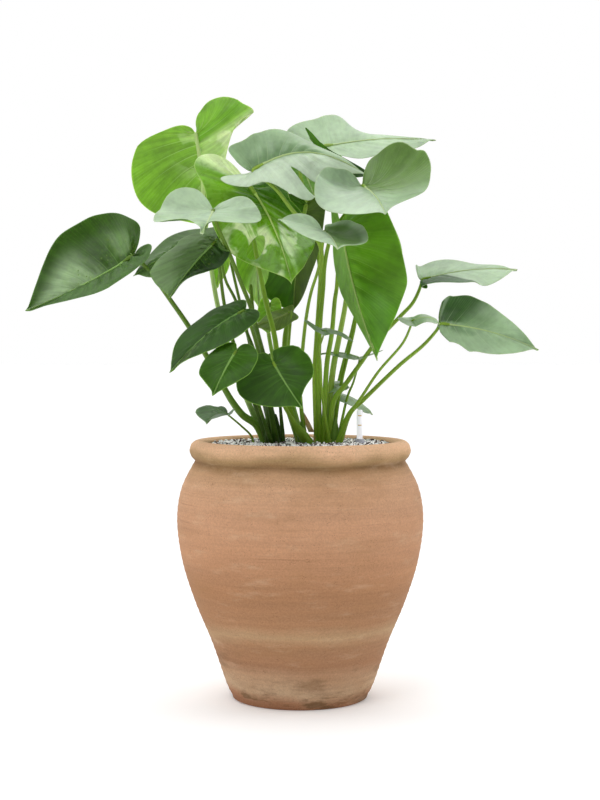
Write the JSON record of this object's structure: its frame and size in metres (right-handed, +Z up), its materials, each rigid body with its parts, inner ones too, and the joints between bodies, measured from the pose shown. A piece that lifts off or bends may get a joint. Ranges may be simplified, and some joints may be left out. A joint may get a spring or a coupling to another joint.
{
  "type": "potted swiss cheese plant",
  "caption": "Young swiss cheese plant in a round rolled-rim terracotta pot, with heart-shaped leaves on long stalks, a mineral top layer and a water-level gauge.",
  "frame": {"origin": "centre of the pot's flat foot, on the surface it stands on", "axes": "+Z up; the plant faces -Y, the side seen in the picture, and +X is to its right there"},
  "size_m": [0.8271, 0.5256, 1.0122],
  "materials": {
    "terracotta": "matte",
    "mineral_fill": "matte",
    "mineral_grains": "matte",
    "stem": "satin",
    "leaf_young": "satin",
    "leaf_silvery": "satin",
    "leaf_deep": "satin",
    "leaf_glossy": "gloss",
    "leaf_olive": "matte",
    "gauge_tube": "gloss",
    "gauge_collar": "satin",
    "gauge_float": "satin"
  },
  "bodies": {
    "planter": {"pot": "terracotta", "substrate": "mineral_fill", "granulate": "mineral_grains", "stem_left": "stem", "stem_middle": "stem", "stem_centre": "stem", "stem_right": "stem", "leaf_top_left": "leaf_young", "leaf_broad_glossy": "leaf_glossy", "leaf_silver_top": "leaf_silvery", "leaf_far_silver": "leaf_silvery", "leaf_shaded": "leaf_deep", "leaf_right_cupped": "leaf_silvery", "leaf_small_middle": "leaf_silvery", "leaf_right_hanging": "leaf_glossy", "leaf_left_winged": "leaf_silvery", "leaf_far_left": "leaf_deep", "leaf_left_back": "leaf_deep", "leaf_left_ribbed": "leaf_deep", "leaf_front_left": "leaf_deep", "leaf_front_small": "leaf_deep", "leaf_front_round": "leaf_deep", "leaf_tiny_left": "leaf_deep", "leaf_olive_small": "leaf_olive", "leaf_low_green": "leaf_young", "leaf_right_flat": "leaf_silvery", "leaf_far_right": "leaf_deep", "leaf_right_thin": "leaf_silvery", "leaf_low_thin": "leaf_silvery", "leaf_low_edge": "leaf_silvery", "leaf_low_pale": "leaf_silvery", "leaf_low_right": "leaf_silvery", "leaf_behind_middle": "leaf_olive", "leaf_behind_left": "leaf_young", "leaf_behind_lime": "leaf_young", "leaf_back_top": "leaf_young", "leaf_back_right": "leaf_deep", "leaf_back_middle": "leaf_young", "leaf_back_low": "leaf_deep", "gauge_tube": "gauge_tube", "gauge_collar": "gauge_collar"},
    "float": {"gauge_float": "gauge_float"}
  },
  "joints": [
    {"name": "float_rise", "type": "slide", "parent": "planter", "child": "float", "axis": [0, 0, 1], "range_m": [0, 0.032]}
  ]
}
